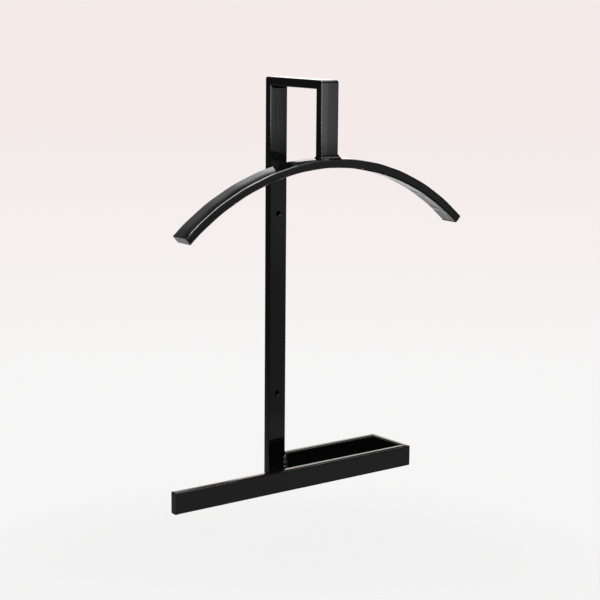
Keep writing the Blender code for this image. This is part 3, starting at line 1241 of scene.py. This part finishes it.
class RACK_OT_welds(bpy.types.Operator):
    """Add the welds: the one round the drop post's foot, the inner corner fillets and the rear rail's bead"""

    bl_idname = "rack.welds"
    bl_label = "Welds"

    def execute(self, context):
        tree = weld_nodes()
        material = enamel_weld("weld_enamel", WELD_SHINE, WELD_GRAIN, WELD_GRAIN_HEIGHT)
        bead_material = enamel_weld("bead_enamel", BEAD_SHINE, BEAD_GRAIN, BEAD_GRAIN_HEIGHT)
        full, slight = sizes().full_leg, sizes().slight_leg
        broad = TUBE_WIDTH - 2 * sizes().corner_radius
        narrow = TUBE_DEPTH - 2 * sizes().corner_radius
        across = Matrix.Identity(4)
        inwards = Matrix.Rotation(math.pi / 2, 4, "Z")
        upwards = Matrix.Rotation(-math.pi / 2, 4, "Y")
        arm_rear, arm_front = under_arm(TUBE_DEPTH), under_arm(ARM_REACH - TUBE_DEPTH)
        inner_x = RAIL_RIGHT_X - TUBE_DEPTH
        rail_front = Vector((inner_x, RAIL_FRONT_Y + TUBE_DEPTH, RAIL_Z))
        rail_rear = Vector((inner_x, UPRIGHT_LOW.y, RAIL_Z))
        above_rail = Vector((UPRIGHT_HIGH.x, UPRIGHT_Y, RAIL_TOP_Z))
        corners = (
            ("arm_rear_bead", "arm_rear_weld", arm_rear, across, broad, full),
            ("arm_front_bead", "arm_front_weld", arm_front, across, broad, slight),
            ("rail_front_bead", "rail_front_corner_weld", rail_front, upwards, broad, slight),
            ("rail_rear_bead", "rail_rear_corner_weld", rail_rear, upwards, broad, slight),
            ("rear_rail_top_bead", "rear_rail_top_weld", above_rail, inwards, narrow, full),
        )
        for seed, (name, node, corner, turn, length, leg) in enumerate(corners):
            path = straight_path(name, length, leg)
            mesh = weld_mesh(path, tree, FILLET_HOLLOW, seed, Matrix.Translation(corner) @ turn, material)
            add_piece(name, mesh, material, node)

        half = (BEAD_HIGH.x - BEAD_LOW.x) / 2
        path = straight_path("rear_rail_side_bead", broad, half)
        place = Matrix.Translation((BEAD_LOW.x + half, UPRIGHT_LOW.y, RAIL_Z)) @ upwards
        place = place @ Matrix.Diagonal((1, BEAD_FLATNESS, 1, 1))
        mesh = weld_mesh(path, tree, BEAD_HOLLOW, len(corners), place, bead_material)
        add_piece("rear_rail_side_bead", mesh, bead_material, "rear_rail_bead")

        self.add_post_bead(tree, material)
        return {"FINISHED"}

    def add_post_bead(self, tree, material):
        """The bead round the drop post's foot, bent to the hanger's round."""
        radius = sizes().corner_radius
        face_leg = sizes().post_face_leg
        points = []
        for x, y in outline(TUBE_WIDTH, TUBE_DEPTH, radius):
            side_leg = sizes().post_right_leg if x > 0 else sizes().post_left_leg
            round_corner = max(abs(x) - TUBE_WIDTH / 2, -radius) / radius + 1
            points.append(((x, y, 0), face_leg + (side_leg - face_leg) * round_corner**2))
        path = weld_path("drop_post_bead", points, closed=True)
        place = Matrix.Translation((0, POST_Y, CROWN_Z))
        mesh = weld_mesh(path, tree, FILLET_HOLLOW, POST_SEED, place, material)
        for vert in mesh.vertices:
            vert.co.z -= bow_drop(vert.co.x)
        add_piece("drop_post_bead", mesh, material, "drop_post_weld")


class RACK_OT_stage(bpy.types.Operator):
    """Add the camera, the lamps, the floor and the studio round them"""

    bl_idname = "rack.stage"
    bl_label = "Stage"

    def execute(self, context):
        add_camera()
        add_floor()
        add_surround()
        add_world()
        below = OVERHEAD_PLACE + DOWN
        add_softbox("overhead_softbox", OVERHEAD_PLACE, below, OVERHEAD_SIZE, stage().overhead)
        # painted highlight: a glowing card that only the rack's reflections see, which lights nothing
        add_card("overhead_highlight_card", OVERHEAD_CARD_LOW, OVERHEAD_CARD_HIGH, lit(overhead_light))
        add_softbox("key_softbox", KEY_PLACE, KEY_TARGET, KEY_SIZE, stage().key)
        add_card("front_card", FRONT_CARD_LOW, FRONT_CARD_HIGH, lit(front_light), lights=True)
        # painted highlight: a glowing card that only the rack's rounded edges mirror, which lights nothing
        add_card("edge_highlight_card", EDGE_CARD_LOW, EDGE_CARD_HIGH, lit(edge_light))
        # painted shade: a dark card under the rails' loop, which only reflections see, so that the loop's
        # insides mirror shade
        card_z = BOTTOM_Z - RAIL_CARD_DROP
        low = (UPRIGHT_LOW.x, RAIL_FRONT_Y, card_z)
        add_card("rail_shade_card", low, (RAIL_RIGHT_X, UPRIGHT_HIGH.y, card_z), dark)
        # painted shade: a dark card just above the floor, which only reflections see, so that the hanger's
        # lower edges mirror shade
        card_z = BOTTOM_Z - stage().floor_drop + FLOOR_CARD_LIFT
        add_card("floor_shade_card", (*FLOOR_CARD_LOW, card_z), (*FLOOR_CARD_HIGH, card_z), dark)
        context.scene.view_settings.view_transform = "Standard"
        return {"FINISHED"}


# Stage


def span(low, high):
    """A range of angles, given in degrees."""
    return math.radians(low), math.radians(high)


OVERHEAD_PLACE = Vector((-0.225, -0.4, 1.45))
OVERHEAD_SIZE = (1.05, 0.9)
KEY_PLACE = Vector((-1.42, -0.72, 0.53))
KEY_TARGET = Vector((0, -0.1, 0.53))
KEY_SIZE = (0.35, 0.8)

# The floor's facets, and the share of its radius at which it has faded into the backdrop
FLOOR_SIDES = 128
FLOOR_FADE = 0.7

# Dark cards close under the rails and on the floor, which only reflections see: they cast no shadow and light
# nothing, so they are painted shade for the rack to mirror
DARK_CARD_COLOUR = (0.02, 0.02, 0.02, 1)
RAIL_CARD_DROP = 0.6 * MM
FLOOR_CARD_LIFT = 0.02
FLOOR_CARD_LOW = (0.3, -0.9)
FLOOR_CARD_HIGH = (1.15, 0.22)

# Glowing cards; a band is where a level of light begins to fade along X, where it has faded, and its
# brightness. The overhead and edge cards light nothing and only reflections see them: they are painted
# highlights
FRONT_CARD_LOW = (0.05, -0.6, 0.12)
FRONT_CARD_HIGH = (0.47, -0.6, 0.3)
FRONT_CARD_LEFT = (FRONT_CARD_LOW[0], 0.1)
FRONT_CARD_RIGHT = (0.455, FRONT_CARD_HIGH[0])
FRONT_BANDS = ((0.2, 0.33, 1.2), (0.382, 0.387, 0.32), (0.37, 0.455, 0.4))
FRONT_LEAST = 0.28
FRONT_RISE = (0.115, 0.175)
FRONT_FOOT_STEPS = ((0.352, 0.364), (0.4, 0.415))
FRONT_FOOT_LEVEL = 0.2
EDGE_CARD_LOW = (-0.35, -0.6, 0.13)
EDGE_CARD_HIGH = (0.03, -0.6, 0.26)
EDGE_RISE = (EDGE_CARD_LOW[2], 0.2)
OVERHEAD_CARD_LOW = (-0.75, -0.9, 1.44)
OVERHEAD_CARD_HIGH = (1.7, 0.1, 1.44)
OVERHEAD_BANDS = ((0.3, 0.34, 2.0), (0.48, 0.53, 1.2), (0.74, 0.78, 0.7))
NEAR_PATCH = ((0.78, 0.82), (0.94, 0.97))
NEAR_LEVEL = 1.7
FAR_PATCH = ((1.09, 1.12), (1.2, 1.5))
FAR_LEVEL = 1.5
FAR_FADE = 0.5
PATCH_FRONT_EDGE = (-0.42, -0.38)

# Where the studio's glow begins and ends: headings from straight at the wall, and rises from the horizon
SURROUND_RADIUS = 5.0
SURROUND_SIDES = 48
FRONT_HEADING = math.radians(143)
FRONT_FACING = (math.cos(math.radians(42)), math.cos(math.radians(24)))
FRONT_GLOW_RISE = span(-4, 0)
FRONT_LIFT_RISE = span(-10, -5)
FRONT_LIFT = 0.7
FRONT_LOW_RISE = span(-16.4, -15.2)
FRONT_LOW_LIFT = 0.6
FLOOR_GLOW_RISE = span(-20, -11)
BACK_LEFT_EDGE = span(-20, 2)
BACK_RIGHT_EDGE = span(31.8, 33.2)
BACK_LOW_EDGE = span(18, 19.2)
BACK_GLOW_RISE = span(25, 45)

# The gap in the studio through which the rack mirrors the backdrop: slanting edges, and a step on its left
GAP_SLANT = 0.6
GAP_LEFT_EDGE = span(20, 21.5)
GAP_RIGHT_EDGE = span(70, 80)
GAP_TOP_EDGE = span(38.3, 39.3)
GAP_STEP = span(33.8, 34.4)
GAP_STEP_TOP = span(14.3, 15.3)

# Heights on a sphere of radius 1 between which the backdrop takes on its tint and its shine
TINT_HEIGHT = (-0.235, -0.04)
SHINE_HEIGHT = (-0.21, 0.035)


def add_camera():
    camera = bpy.data.cameras.new("camera")
    camera.lens = stage().lens
    thing = linked("camera", camera)
    turn = Matrix.Rotation(-stage().camera_heading, 4, "Z")
    turn = turn @ Matrix.Rotation(math.pi / 2 + stage().camera_pitch, 4, "X")
    turn = turn @ Matrix.Rotation(stage().camera_roll, 4, "Z")
    thing.matrix_world = Matrix.Translation(stage().camera_place) @ turn
    bpy.context.scene.camera = thing


def add_softbox(name, place, target, size, brightness):
    """A rectangular lamp aimed at a target, whose own face has the given brightness."""
    light = bpy.data.lights.new(name, "AREA")
    light.shape = "RECTANGLE"
    light.size, light.size_y = size
    light.energy = brightness * math.pi * light.size * light.size_y
    thing = linked(name, light)
    aim = (target - place).to_track_quat("-Z", "Y").to_matrix().to_4x4()
    thing.matrix_world = Matrix.Translation(place) @ aim
    thing.visible_camera = False


def glowing(board, brightness):
    """A shader of nothing but white light of a brightness."""
    sockets = {
        "Base Color": (0, 0, 0, 1),
        "Specular IOR Level": 0.0,
        "Emission Color": brightness,
        "Emission Strength": 1.0,
    }
    return board.add("ShaderNodeBsdfPrincipled", None, sockets)


def looked_at(board):
    """1 for what looks straight at a surface, mirrors it or sees it through glass, and 0 for light."""
    camera = board.add("ShaderNodeLightPath", out="Is Camera Ray")
    return camera.most(camera.other("Is Glossy Ray")).most(camera.other("Is Transmission Ray"))


def add_floor():
    """A pale disc behind and below the rack, which fades into the backdrop."""
    bm = bmesh.new()
    bmesh.ops.create_circle(bm, cap_ends=True, segments=FLOOR_SIDES, radius=stage().floor_radius)
    bmesh.ops.translate(bm, verts=bm.verts, vec=(*stage().floor_middle, BOTTOM_Z - stage().floor_drop))
    mesh = mesh_of("floor", bm)
    floor = linked("floor", mesh)
    material, board = new_material("floor_paper")
    x, y, _ = board.parts(board.place())
    middle_x, middle_y = stage().floor_middle
    reach = ((x - middle_x) ** 2.0 + (y - middle_y) ** 2.0) ** 0.5
    paper = board.add("ShaderNodeBsdfDiffuse", None, {"Color": (*stage().floor_colour, 1)})
    glow = glowing(board, looked_at(board) * stage().paper_glow)
    pale = board.add("ShaderNodeAddShader", None, {0: paper, 1: glow})
    fade = reach.smooth(0.0, stage().floor_radius * FLOOR_FADE)
    board.surface(board.blend(fade, pale, board.add("ShaderNodeBsdfTransparent")))
    mesh.materials.append(material)


def rectangle(name, low, high):
    """A flat sheet between two opposite corners, which share one coordinate."""
    low, high = Vector(low), Vector(high)
    flat = min(range(3), key=lambda axis: abs(high[axis] - low[axis]))
    first, second = (axis for axis in range(3) if axis != flat)
    corners = [low.copy() for _ in range(4)]
    for corner, (on_first, on_second) in zip(corners, ((0, 0), (1, 0), (1, 1), (0, 1))):
        corner[first] = high[first] if on_first else low[first]
        corner[second] = high[second] if on_second else low[second]
    bm = bmesh.new()
    bm.faces.new([bm.verts.new(corner) for corner in corners])
    sheet = linked(name, mesh_of(name, bm))
    sheet.visible_camera = False
    return sheet


def add_card(name, low, high, shader, lights=False):
    """A card for the rack to mirror, unseen by the camera and without shadow, which may light the floor."""
    card = rectangle(name, low, high)
    card.visible_shadow = False
    card.visible_diffuse = lights
    material, board = new_material(name + "_paper")
    board.surface(shader(board))
    card.data.materials.append(material)


def dark(board):
    """The shader of a dark card: painted shade that only reflections see."""
    return board.add("ShaderNodeBsdfDiffuse", None, {"Color": DARK_CARD_COLOUR})


def lit(light):
    """The shader of a lit card, whose brightness is a sum on its coordinates."""
    return lambda board: glowing(board, light(*board.parts(board.place())))


def faded(x, bands):
    """The light of bands that fade out along X, one over the other."""
    return sum((1 - x.smooth(begins, ends)) * level for begins, ends, level in bands)


def front_light(x, y, z):
    """Brightest on the left, dimmer on the right and below."""
    edges = x.smooth(*FRONT_CARD_LEFT) * (1 - x.smooth(*FRONT_CARD_RIGHT))
    foot = sum(x.smooth(*step) * FRONT_FOOT_LEVEL for step in FRONT_FOOT_STEPS)
    rise = foot + (1 - foot) * z.smooth(*FRONT_RISE)
    return (faded(x, FRONT_BANDS) + FRONT_LEAST) * edges * rise * stage().front_card


def edge_light(x, y, z):
    """Dimmer below: only the rounded front left edges mirror it, as a painted highlight, for it lights
    nothing.
    """
    return z.smooth(*EDGE_RISE) * stage().edge_highlight_card


def overhead_light(x, y, z):
    """Brightest on the left, with two patches apart from it on the right: a painted highlight, which only
    reflections see.
    """
    (near_begins, near_ends), (far_begins, far_fades) = NEAR_PATCH, FAR_PATCH
    near = x.smooth(*near_begins) * (1 - x.smooth(*near_ends)) * NEAR_LEVEL
    far = x.smooth(*far_begins) * (1 - x.smooth(*far_fades) * FAR_FADE) * FAR_LEVEL
    patches = (near + far) * y.smooth(*PATCH_FRONT_EDGE)
    return (faded(x, OVERHEAD_BANDS) + patches) * stage().overhead_highlight_card


def add_surround():
    """A dim shell for the rack to mirror, out of the camera's sight and open towards the backdrop."""
    bm = bmesh.new()
    bmesh.ops.create_uvsphere(
        bm, u_segments=SURROUND_SIDES, v_segments=SURROUND_SIDES // 2, radius=SURROUND_RADIUS
    )
    mesh = mesh_of("studio_surround", bm)
    shell = linked("studio_surround", mesh)
    shell.visible_camera = False
    material, board = new_material("surround_cloth")
    x, y, z = board.parts(board.place())
    heading = x.angle_over(y)
    rise = z.angle_over((x * x + y * y) ** 0.5)
    facing = (x * math.sin(FRONT_HEADING) + y * math.cos(FRONT_HEADING)) / SURROUND_RADIUS
    front = facing.smooth(*FRONT_FACING)
    raised = rise.smooth(*FRONT_LIFT_RISE) * FRONT_LIFT
    lowest = (1 - rise.smooth(*FRONT_LOW_RISE)) * FRONT_LOW_LIFT
    low_front = front * (1 - rise.smooth(*FRONT_GLOW_RISE)) * (raised + lowest + 1)
    floor = (1 - front) * (1 - rise.smooth(*FLOOR_GLOW_RISE))
    behind = heading.smooth(*BACK_LEFT_EDGE) * (1 - heading.smooth(*BACK_RIGHT_EDGE))
    high_back = behind * rise.smooth(*BACK_LOW_EDGE) * (1 - rise.smooth(*BACK_GLOW_RISE))
    strength = low_front * stage().front_glow + floor * stage().floor_glow
    glow = glowing(board, strength + high_back * stage().back_glow + stage().surround)
    beside = (heading - rise * GAP_SLANT).smooth(*GAP_LEFT_EDGE) * (1 - heading.smooth(*GAP_RIGHT_EDGE))
    shut = (1 - heading.smooth(*GAP_STEP)) * rise.smooth(*GAP_STEP_TOP)
    gap = beside * (1 - (heading * GAP_SLANT + rise).smooth(*GAP_TOP_EDGE)) * (1 - shut)
    board.surface(board.blend(gap, glow, board.add("ShaderNodeBsdfTransparent")))
    mesh.materials.append(material)


def add_world():
    """A pale backdrop for what looks straight at it or mirrors it, and dim light for the rest."""
    world = bpy.data.worlds.new("backdrop")
    bpy.context.scene.world = world
    world.use_nodes = True
    world.node_tree.nodes.clear()
    board = Board(world.node_tree)
    _, _, height = board.parts(board.add("ShaderNodeTexCoord", out="Generated"))
    tint = board.mixed(height.smooth(*TINT_HEIGHT), stage().low_backdrop, stage().high_backdrop)
    glossy = board.add("ShaderNodeLightPath", out="Is Glossy Ray")
    backdrop = background(board, tint, 1.0)
    bright = background(board, (*stage().high_backdrop, 1), stage().backdrop_shine)
    dim = background(board, (1, 1, 1, 1), stage().surround)
    shown = board.blend(glossy * height.smooth(*SHINE_HEIGHT), backdrop, bright)
    board.add("ShaderNodeOutputWorld", None, {"Surface": board.blend(looked_at(board), dim, shown)})


def background(board, colour, strength):
    return board.add("ShaderNodeBackground", None, {"Color": colour, "Strength": strength})


# Panel


class RACK_PT_panel(bpy.types.Panel):
    """The rack's settings and the steps that build it"""

    bl_idname = "RACK_PT_panel"
    bl_label = "Coat Rack"
    bl_space_type = "VIEW_3D"
    bl_region_type = "UI"
    bl_category = "Coat Rack"

    def draw(self, context):
        for group in (context.scene.rack_sizes, context.scene.rack_finish, context.scene.rack_stage):
            box = self.layout.box()
            for name in group.bl_rna.properties.keys():
                if name not in ("name", "rna_type"):
                    box.prop(group, name)
        for operator in BUILD_STEPS:
            self.layout.operator(operator.bl_idname)


BUILD_STEPS = (
    RACK_OT_upright,
    RACK_OT_neck,
    RACK_OT_hanger,
    RACK_OT_rails,
    RACK_OT_plates,
    RACK_OT_welds,
    RACK_OT_stage,
)
SETTINGS = {"rack_sizes": RackSizes, "rack_finish": RackFinish, "rack_stage": RackStage}


def register():
    for cls in (*SETTINGS.values(), *BUILD_STEPS, RACK_PT_panel):
        bpy.utils.register_class(cls)
    for name, cls in SETTINGS.items():
        setattr(bpy.types.Scene, name, PointerProperty(type=cls))


def unregister():
    for name in SETTINGS:
        delattr(bpy.types.Scene, name)
    for cls in (RACK_PT_panel, *reversed(BUILD_STEPS), *reversed(SETTINGS.values())):
        bpy.utils.unregister_class(cls)


def main():
    register()
    bpy.ops.rack.upright()
    bpy.ops.rack.neck()
    bpy.ops.rack.hanger()
    bpy.ops.rack.rails()
    bpy.ops.rack.plates()
    bpy.ops.rack.welds()
    bpy.ops.rack.stage()


if __name__ == "__main__":
    main()
